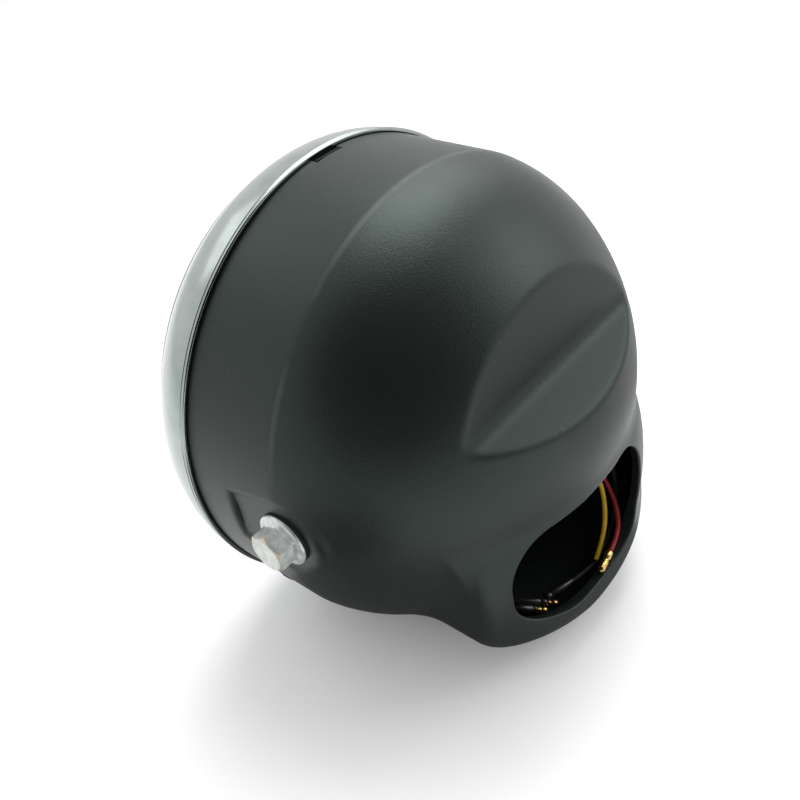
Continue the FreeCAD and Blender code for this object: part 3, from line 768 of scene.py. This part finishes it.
def cross_recess(radius, angle):
    """How deep the driver's cross is at a place on the head."""
    across = np.minimum(np.abs(radius * np.sin(angle)), np.abs(radius * np.cos(angle)))
    reach = 1 - np.clip((radius - cross_reach) / cross_end, 0, 1)
    return cross_depth * reach * (1 - np.clip((across - cross_half_width) / cross_flank, 0, 1))


screw_points = []
screw_faces = []
for side in (1, -1):
    out = np.array([side * math.cos(screw_angle), 0, -math.sin(screw_angle)])
    over = np.cross(out, [0, 1, 0])
    rings = []
    for radius in head_radii:
        crown = head_height * (1 - head_crown * (radius / head_radius) ** head_crown_power)
        rings.append((radius, crown - cross_recess(radius, screw_turn)))
    rings += [(head_radius, head_edge_height), (head_radius, 0.25), (head_radius - 0.2, head_foot),
              (thread_radius, head_foot), (thread_radius, thread_chamfer - thread_length),
              (head_radii[0], -thread_length)]
    shift = len(screw_points)
    for radius, height in rings:
        screw_points.extend(np.outer(band_radius + height + 0 * screw_turn, out)
                            + np.outer(radius * np.cos(screw_turn), over)
                            + np.outer(radius * np.sin(screw_turn) + screw_y, [0, 1, 0]))
    screw_faces.extend(loop_faces(len(rings), screw_segments)[:-screw_segments] + shift)
screws = new_piece("pan_head_screws", screw_points, screw_faces, screw_sharp_edge)
fit_piece(screws, black_steel, "black_steel", "ring_screws")

# LED unit
# A clear front lens, a metallised reflector and a die-cast housing with cooling fins, sealed as one
# unit. A rubber gasket and five spring clips hold it in the ring.
lens_segments = 240
lens_rows = 26
lens_skirt_radius = 69.9
lens_bulge = 5.0
lens_pole_y = -66.5
lens_thickness = 2.5
lens_bore = 67.4
lens_edge = 0.2
lens_fillet = 0.5
lens_flange_radius = 74.5
lens_flange_y = -57.5
lens_back_y = -55.0


def cap(sphere, centre_y, rim, count):
    """Points of a sphere about the axis, from the rim in to the middle."""
    turns = np.linspace(math.asin(rim / sphere), 0.0005, count)
    return [(sphere * math.sin(t), centre_y - sphere * math.cos(t)) for t in turns]


lens_sphere = (lens_skirt_radius ** 2 + lens_bulge ** 2) / (2 * lens_bulge)
lens_centre_y = lens_pole_y + lens_sphere
lens_profile = (
    [(lens_flange_radius, lens_flange_y), (lens_skirt_radius + lens_fillet, lens_flange_y),
     (lens_skirt_radius, lens_flange_y - lens_fillet)]
    + cap(lens_sphere, lens_centre_y, lens_skirt_radius - lens_edge, lens_rows)
    + cap(lens_sphere - lens_thickness, lens_centre_y, lens_bore, lens_rows)[::-1]
    + [(lens_bore, lens_back_y), (lens_flange_radius, lens_back_y)]
)


def clear_plastic(start, place):
    haze = start.noise(place, 60, 3)
    return {"Base Color": (0.97, 0.985, 1.0, 1), "Roughness": 0.02 + haze * 0.02,
            "Transmission Weight": 1.0, "IOR": 1.49}


fit_piece(lathe("clear_lens", lens_profile, lens_segments), finish("clear_plastic", clear_plastic),
          "clear_lens", "front_lens")


def bright_metal(start, place):
    film = start.noise(place, 45, 3)
    return {"Base Color": start.mixed(film, (0.80, 0.81, 0.83, 1), (0.90, 0.90, 0.91, 1)),
            "Metallic": 1.0, "Roughness": 0.05 + film * 0.07}


bowl_rim = (67.5, lens_back_y)
bowl_middle = (50.0, -37.4)
bowl_eye = (22.0, -20.0)
bowl_flange = (lens_flange_radius, lens_back_y)
bowl_wall = 2.0
bowl_rows = 40


def behind(point):
    """The point of the bowl's back that lies behind one of its front."""
    return point[0], point[1] + bowl_wall


reflector_profile = (
    arc_points(bowl_rim, bowl_middle, bowl_eye, bowl_rows) + [bowl_eye]
    + arc_points(behind(bowl_eye), behind(bowl_middle), behind(bowl_rim), bowl_rows)
    + [behind(bowl_rim), behind(bowl_flange), bowl_flange]
)
metallised = finish("bright_metal", bright_metal)
fit_piece(lathe("metallised_bowl", reflector_profile, lens_segments), metallised, "metallised", "reflector")
dress(metallised, "led_shield")


def die_cast(start, place):
    sand = start.noise(place, 1300, 3)
    bump = start.node("ShaderNodeBump", None, {"Strength": 0.3, "Distance": 0.00008, "Height": sand})
    return {"Base Color": start.mixed(sand, (0.26, 0.27, 0.28, 1), (0.36, 0.37, 0.38, 1)),
            "Metallic": 1.0, "Roughness": 0.46 + sand * 0.14, "Normal": bump}


def milled_plate(start, place):
    stretched = start.node("ShaderNodeVectorMath", {"operation": "MULTIPLY"}, {0: place, 1: (1, 0.05, 1)})
    streak = start.noise(stretched, 3000, 2)
    return {"Base Color": start.mixed(streak, (0.55, 0.56, 0.57, 1), (0.66, 0.67, 0.68, 1)),
            "Metallic": 1.0, "Roughness": 0.26 + streak * 0.14}


def phosphor(start, place):
    cells = start.node("ShaderNodeTexVoronoi", None, {"Vector": place, "Scale": 900}, output=0)
    return {"Base Color": start.mixed(cells, (0.82, 0.66, 0.10, 1), (0.90, 0.78, 0.24, 1)), "Roughness": 0.35}


def lacquered_board(start, place):
    weave = start.noise(place, 1100, 2)
    return {"Base Color": start.mixed(weave, (0.020, 0.11, 0.045, 1), (0.035, 0.16, 0.07, 1)),
            "Roughness": 0.3}


def moulded_cover(start, place):
    grain = start.noise(place, 1200, 3)
    bump = start.node("ShaderNodeBump", None, {"Strength": 0.25, "Distance": 0.00005, "Height": grain})
    return {"Base Color": start.mixed(grain, (0.012, 0.012, 0.013, 1), (0.02, 0.02, 0.021, 1)),
            "Roughness": 0.45 + grain * 0.1, "Normal": bump}


dress(finish("die_cast", die_cast), "lamp_housing")
dress(finish("milled_plate", milled_plate), "led_carrier")
dress(finish("phosphor", phosphor), "led_chips")
dress(finish("lacquered_board", lacquered_board), "driver_board")
dress(finish("moulded_cover", moulded_cover), "driver_cover")
dress(steel, "spring_clips")
dress(rubber, "lens_gasket", "wire_gland")

# Wires
# Five thin stranded wires in soft plastic insulation leave the gland behind the lamp unit, curl down
# inside the shell and end in the cable opening. The yellow one is cut; the rest have fitted ends.
wire_radius = 0.9
gland_pitch = 2.6
gland_back_y = 15.0
gland_run = 7.0


def gland_exit(angle):
    """Where a wire leaves the gland, and the end of its first straight run."""
    x = gland_pitch * math.cos(math.radians(angle))
    z = gland_pitch * math.sin(math.radians(angle))
    return [(x, gland_back_y, z), (x, gland_back_y + gland_run, z)]


wire_routes = {
    "yellow": gland_exit(162) + [
        (-8.0, 31.0, -6.0), (-16.0, 38.0, -17.0), (-22.0, 43.5, -30.0),
        (-23.9, 47.2, -42.0), (-19.5, 51.3, -51.5), (-13.5, 53.3, -58.5), (-7.0, 54.4, -62.0)],
    "red": gland_exit(234) + [
        (-9.0, 30.5, -11.0), (-18.0, 37.0, -22.0), (-25.5, 42.0, -34.0),
        (-28.6, 46.1, -44.0), (-25.0, 52.8, -51.0), (-18.0, 57.6, -56.4), (-9.5, 58.6, -57.8)],
    "black_long": gland_exit(90) + [
        (-7.5, 29.5, 1.5), (-20.0, 35.0, -9.0), (-29.5, 39.5, -23.5),
        (-35.5, 43.0, -37.0), (-34.0, 47.5, -48.5), (-26.0, 51.3, -57.0), (-15.5, 53.4, -62.4),
        (-5.0, 53.8, -64.9), (4.0, 51.2, -64.5)],
    "black_inner": gland_exit(306) + [
        (7.0, 30.5, -9.0), (18.0, 31.0, -22.0), (25.5, 30.0, -36.0),
        (31.5, 31.0, -50.0), (31.5, 34.0, -58.2), (26.5, 40.2, -59.8)],
    "black_outer": gland_exit(18) + [
        (9.0, 31.0, -5.0), (23.0, 30.0, -20.0), (31.5, 30.5, -34.0),
        (36.0, 33.0, -47.5), (34.5, 37.5, -56.0), (29.3, 43.0, -58.6)],
}


def insulation(dark, light):
    """Soft coloured plastic on a wire."""
    def inputs(start, place):
        smudge = start.noise(place, 380, 3)
        return {"Base Color": start.mixed(smudge.band(0.3, 0.7), dark, light),
                "Roughness": 0.3 + smudge * 0.15, "Specular IOR Level": 0.25}
    return inputs


def lay_wire(name, route, material, slot):
    """A round wire on one smooth line, with the route's points as its control points."""
    curve = bpy.data.curves.new(name, "CURVE")
    curve.dimensions = "3D"
    curve.bevel_depth = wire_radius * MM
    curve.bevel_resolution = 5
    curve.resolution_u = 14
    curve.use_fill_caps = True
    spline = curve.splines.new("NURBS")
    spline.points.add(len(route) - 1)
    for point, place in zip(spline.points, route):
        point.co = (*(Vector(place) * MM), 1)
    spline.order_u = 3
    spline.use_endpoint_u = True
    wire = bpy.data.objects.new(name, curve)
    bpy.context.scene.collection.objects.link(wire)
    fit_piece(wire, material, slot, name.replace("insulated", "wire"))
    return wire


wire_skins = {
    "yellow": insulation((0.30, 0.19, 0.008, 1), (0.38, 0.25, 0.012, 1)),
    "red": insulation((0.15, 0.008, 0.011, 1), (0.21, 0.012, 0.015, 1)),
    "black": insulation((0.010, 0.010, 0.011, 1), (0.018, 0.018, 0.019, 1)),
}
wire_finishes = {colour: finish(colour + "_insulation", skin) for colour, skin in wire_skins.items()}
for name, route in wire_routes.items():
    colour = name.split("_")[0]
    lay_wire("insulated_" + name, route, wire_finishes[colour], "wire_" + colour)

# Sleeves and bullet terminals
# Brass bullets crimped on three wires. The red wire's is bare and lies by the opening's lower lip; the
# two short black wires have theirs in moulded black sleeves, and the long one ends in an empty sleeve.
sleeve_radius = 1.6
bullet_radius = 1.35
covered_bullet_radius = 0.9 * bullet_radius
sleeve_long = 12.5
sleeve_short = 8.5
bullet_length = 8.8
bullet_show = 4.4
end_segments = 40


def turned_end(name, route, start, profile):
    """A small turned piece in line with a wire's last run; the profile is radius and distance."""
    last, before = Vector(route[-1]), Vector(route[-2])
    way = (last - before).normalized()
    side = way.orthogonal().normalized()
    over = way.cross(side)
    angles = np.linspace(0, 2 * math.pi, end_segments, endpoint=False)
    rings = []
    for radius, along in profile:
        centre = np.array(last + way * (start + along))
        rings.append(centre + radius * (np.outer(np.cos(angles), side) + np.outer(np.sin(angles), over)))
    return new_piece(name, np.concatenate(rings), loop_faces(len(rings), end_segments)[:-end_segments])


def gloss_sleeve(start, place):
    smudge = start.noise(place, 500, 3)
    return {"Base Color": start.mixed(smudge, (0.006, 0.006, 0.007, 1), (0.012, 0.012, 0.013, 1)),
            "Roughness": 0.2 + smudge * 0.12}


def bright_brass(start, place):
    tarnish = start.noise(place, 700, 3, 0.6)
    return {"Base Color": start.mixed(tarnish.band(0.45, 0.75), (0.80, 0.56, 0.20, 1), (0.42, 0.24, 0.07, 1)),
            "Metallic": 1.0, "Roughness": 0.2 + tarnish * 0.15}


def bullet_profile(length, radius):
    """Crimp, waist, body and rounded nose of a bullet terminal."""
    nose = radius * 0.8
    waist = radius * 0.78
    return [(0.01, 0), (radius * 0.94, 0), (radius, 0.15), (radius, length * 0.30),
            (waist, length * 0.36), (waist, length * 0.42), (radius, length * 0.50),
            (radius, length - nose * 1.3), (radius * 0.93, length - nose),
            (radius * 0.7, length - nose * 0.45), (radius * 0.35, length - nose * 0.1), (0.01, length)]


def sleeve_profile(length):
    """A sleeve with a soft shoulder and a rib near its mouth."""
    r = sleeve_radius
    return [(0.01, 0), (r * 0.72, 0), (r * 0.8, 0.2), (r * 0.84, length * 0.2), (r * 0.97, length * 0.3),
            (r, length * 0.34), (r, length * 0.8), (r * 0.93, length * 0.82), (r * 0.93, length * 0.85),
            (r, length * 0.87), (r, length - 0.3), (r * 0.9, length), (0.01, length)]


brass = finish("bright_brass", bright_brass)
sleeve_black = finish("gloss_sleeve", gloss_sleeve)
red_bullet = turned_end("bullet_red", wire_routes["red"], 0, bullet_profile(bullet_length, bullet_radius))
fit_piece(red_bullet, brass, "brass", "terminal_red")
long_sleeve = turned_end("cover_long", wire_routes["black_long"], 0, sleeve_profile(sleeve_long))
fit_piece(long_sleeve, sleeve_black, "sleeve_black", "sleeve_long")
for name, length in (("inner", sleeve_long), ("outer", sleeve_short)):
    route = wire_routes["black_" + name]
    cover = turned_end("cover_" + name, route, 0, sleeve_profile(length))
    fit_piece(cover, sleeve_black, "sleeve_black", "sleeve_" + name)
    bullet = turned_end("bullet_" + name, route, length, bullet_profile(bullet_show, covered_bullet_radius))
    fit_piece(bullet, brass, "brass", "terminal_" + name)
    "black_" + name
for name, route in wire_routes.items():
    "bare" if name == "yellow" else "connector"

# Camera
# At the photograph's place: behind the lamp, above it and to one side, with the picture turned a
# little.
camera_right = Vector((-0.6310, 0.7627, -0.1418))
camera_up = Vector((-0.5555, -0.3166, 0.7689))
camera_back = camera_right.cross(camera_up).normalized()
camera_place = Vector((0.1842, 0.1680, 0.1981))
picture_width = 800
focal_pixels = 911.1
camera_data = bpy.data.cameras.new("camera")
camera_data.sensor_width = 36
camera_data.lens = camera_data.sensor_width * focal_pixels / picture_width
camera_data.clip_start = 0.01
camera_data.clip_end = 20
camera = bpy.data.objects.new("camera", camera_data)
bpy.context.scene.collection.objects.link(camera)
camera.matrix_world = Matrix.Translation(camera_place) @ Matrix(
    (camera_right, camera_up, camera_back)).transposed().to_4x4()
bpy.context.scene.camera = camera

# Studio
# A white paper floor in an even white room, with four soft boxes round the lamp. Paper cards behind
# the camera and on the floor, dark or grey, show only in the lamp's reflections.
floor_gap = 0.0005
floor_z = cad_box[0][2] - floor_gap
floor_reach = 4
floor_corners = [(x * floor_reach, y * floor_reach, floor_z) for x, y in ((-1, -1), (1, -1), (1, 1), (-1, 1))]
floor_mesh = bpy.data.meshes.new("floor")
floor_mesh.from_pydata(floor_corners, [], [(0, 1, 2, 3)])
floor = bpy.data.objects.new("floor", floor_mesh)
bpy.context.scene.collection.objects.link(floor)


def white_paper(start, place):
    fibre = start.noise(place, 40, 2)
    return {"Base Color": start.mixed(fibre, (0.93, 0.93, 0.93, 1), (0.95, 0.95, 0.95, 1)),
            "Roughness": 0.9, "Specular IOR Level": 0.0}


floor_mesh.materials.append(finish("white_paper", white_paper))


def reflection_card(name, points, faces, tone):
    """Matt paper that the lamp mirrors but the camera doesn't see."""
    mesh = bpy.data.meshes.new(name)
    mesh.from_pydata(points, [], faces)
    card = bpy.data.objects.new(name, mesh)
    bpy.context.scene.collection.objects.link(card)

    def paper(start, place):
        nap = start.noise(place, 30, 2)
        light = tone * 1.1
        return {"Base Color": start.mixed(nap, (tone, tone, tone, 1), (light, light, light, 1)),
                "Roughness": 1.0, "Specular IOR Level": 0.0}

    mesh.materials.append(finish(name, paper))
    card.visible_camera = False
    card.visible_shadow = False
    card.visible_diffuse = False


card_reach = 0.75
card_turn = math.radians(45)
card_rows = 10
card_lines = 48
dome_points = [tuple(camera_back * card_reach)]
for row in range(1, card_rows + 1):
    tilt = card_turn * row / card_rows
    for line in range(card_lines):
        spin = 2 * math.pi * line / card_lines
        way = camera_back * math.cos(tilt) + (camera_right * math.cos(spin)
                                              + camera_up * math.sin(spin)) * math.sin(tilt)
        dome_points.append(tuple(way * card_reach))
dome_faces = [(0, 1 + (line + 1) % card_lines, 1 + line) for line in range(card_lines)]
for row in range(card_rows - 1):
    low = 1 + row * card_lines
    for line in range(card_lines):
        after = (line + 1) % card_lines
        dome_faces.append((low + line, low + after, low + card_lines + after, low + card_lines + line))
reflection_card("card_behind_camera", dome_points, dome_faces, tone=0.014)

card_lift = 0.0004
card_z = floor_z + card_lift


def floor_disc(name, place, radius, height, tone):
    """A round card on the floor."""
    points = []
    for line in range(card_lines):
        spin = 2 * math.pi * line / card_lines
        points.append((place[0] + radius * math.cos(spin), place[1] + radius * math.sin(spin), height))
    reflection_card(name, points, [tuple(range(card_lines))], tone)


def floor_sector(name, first_turn, last_turn, near, far, tone):
    """A card on the floor, part of a ring about the lamp."""
    points = []
    for line in range(card_lines):
        spin = math.radians(first_turn + (last_turn - first_turn) * line / (card_lines - 1))
        for reach in (near, far):
            points.append((reach * math.cos(spin), reach * math.sin(spin), card_z))
    faces = [(2 * line, 2 * line + 1, 2 * line + 3, 2 * line + 2) for line in range(card_lines - 1)]
    reflection_card(name, points, faces, tone)


floor_disc("card_beside_chin", place=(0.074, 0.018), radius=0.066, height=card_z, tone=0.28)
floor_disc("card_behind_chin", place=(0.000, 0.072), radius=0.055, height=card_z - card_lift / 2, tone=0.32)
floor_sector("card_on_far_side", first_turn=110, last_turn=195, near=0.14, far=0.65, tone=0.5)
floor_sector("card_beside_seat", first_turn=-8, last_turn=30, near=0.145, far=0.30, tone=0.05)

world = bpy.data.worlds.new("white_room")
bpy.context.scene.world = world
world.use_nodes = True
room = Signal(world.node_tree)
path = world.node_tree.nodes.new("ShaderNodeLightPath")
seen = room.node("ShaderNodeMath", {"operation": "MAXIMUM"},
                 {0: Signal(world.node_tree, path.outputs["Is Camera Ray"]),
                  1: Signal(world.node_tree, path.outputs["Is Glossy Ray"])})
seen = room.node("ShaderNodeMath", {"operation": "MAXIMUM"},
                 {0: seen, 1: Signal(world.node_tree, path.outputs["Is Transmission Ray"])})
background = world.node_tree.nodes["Background"]
background.inputs["Color"].default_value = (1, 1, 1, 1)
room_light = 0.92
world.node_tree.links.new((seen * (1 - room_light) + room_light).socket, background.inputs["Strength"])


box_reach = 0.9


def soft_box(name, azimuth, elevation, size, power):
    """A lit rectangle that faces the lamp, placed by its direction as seen from there."""
    azimuth, elevation = math.radians(azimuth), math.radians(elevation)
    place = Vector((math.cos(elevation) * math.cos(azimuth), math.cos(elevation) * math.sin(azimuth),
                    math.sin(elevation))) * box_reach
    light = bpy.data.lights.new(name, "AREA")
    light.shape = "RECTANGLE"
    light.size, light.size_y = size
    light.energy = power
    box = bpy.data.objects.new(name, light)
    bpy.context.scene.collection.objects.link(box)
    box.location = place
    box.rotation_euler = (-place).to_track_quat("-Z", "Y").to_euler()


soft_box("box_top", azimuth=-155, elevation=66, size=(0.55, 0.55), power=5.0)
soft_box("box_front", azimuth=-84, elevation=38, size=(0.40, 0.45), power=0.5)
soft_box("box_back", azimuth=140, elevation=32, size=(0.45, 0.40), power=1.7)
soft_box("box_far", azimuth=-160, elevation=38, size=(0.45, 0.35), power=1.1)
bpy.context.scene.view_settings.view_transform = "Standard"
